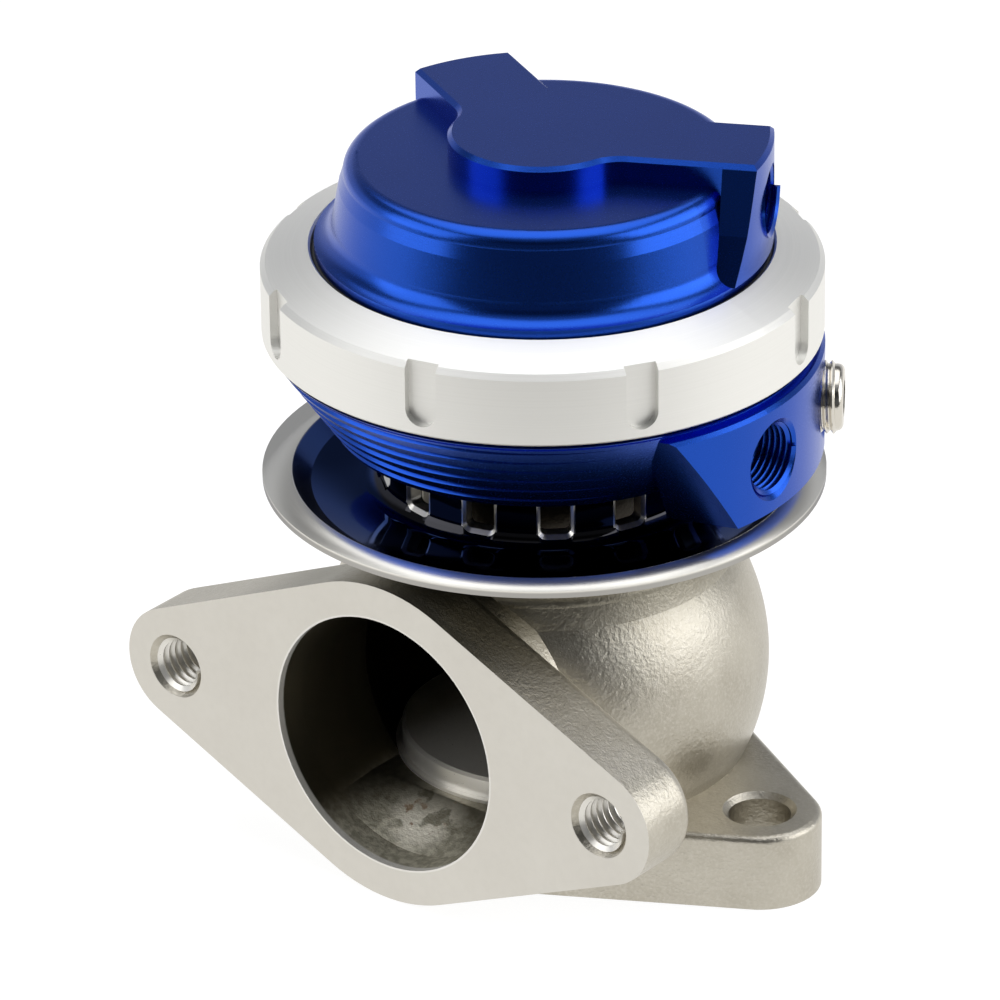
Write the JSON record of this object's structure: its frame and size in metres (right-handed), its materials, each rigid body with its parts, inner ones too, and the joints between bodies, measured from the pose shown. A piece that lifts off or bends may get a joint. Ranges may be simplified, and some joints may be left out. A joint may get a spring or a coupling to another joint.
{
  "type": "turbo wastegate",
  "caption": "External exhaust wastegate: cast body with two bolt flanges, poppet valve, heat shield, finned blue lower housing, silver clamp collar and blue spring cap.",
  "frame": {"origin": "centre of the inlet bore on the inlet flange's face", "axes": "+Z along the valve axis towards the cap, -Y out of the outlet, both flanges' bolt holes in line with X"},
  "size_m": [0.0936, 0.079, 0.1045],
  "materials": {
    "cast_steel": "satin",
    "machined_steel": "satin",
    "spun_steel": "polished",
    "blue_aluminium": "satin",
    "silver_aluminium": "satin",
    "nickel": "satin",
    "spring_steel": "satin",
    "bronze": "satin",
    "black_rubber": "matt",
    "graphite": "matt"
  },
  "bodies": {
    "root": {"valve_body": "cast_steel", "valve_seat": "machined_steel", "valve_guide": "bronze", "stem_seal": "graphite", "guide_circlip": "spring_steel", "heat_shield": "spun_steel", "shield_gasket": "graphite", "housing_screws": "machined_steel", "screw_washers": "machined_steel", "lower_housing": "blue_aluminium", "side_port_plug": "nickel", "cap": "blue_aluminium", "cap_o_ring": "black_rubber"},
    "valve_stack": {"valve": "machined_steel", "diaphragm_plate": "silver_aluminium", "spring_plate": "silver_aluminium", "stem_washer": "machined_steel", "stem_nut": "machined_steel", "diaphragm": "black_rubber", "outer_spring": "spring_steel", "middle_spring": "spring_steel", "inner_spring": "spring_steel"},
    "slip_ring": {"thrust_ring": "graphite"},
    "clamp_collar": {"collar": "silver_aluminium"}
  },
  "joints": [
    {"name": "valve_lift", "type": "slide", "parent": "root", "child": "valve_stack", "axis": [0, 0, 1], "range_m": [0, 0.008], "stiffness_N_per_m": 12000, "springref_m": -0.02, "deforming": ["diaphragm", "outer_spring", "middle_spring", "inner_spring"]},
    {"name": "collar_rise", "type": "slide", "parent": "root", "child": "slip_ring", "axis": [0, 0, 1], "range_m": [0, 0.0015]},
    {"name": "collar_turn", "type": "hinge", "parent": "slip_ring", "child": "clamp_collar", "pos_m": [0, 0, 0.08], "axis": [0, 0, 1], "range_deg": [0, 360]}
  ],
  "couplings": [
    {"joint": "collar_turn", "follows": "collar_rise", "rad_per_m": 4188.8}
  ]
}
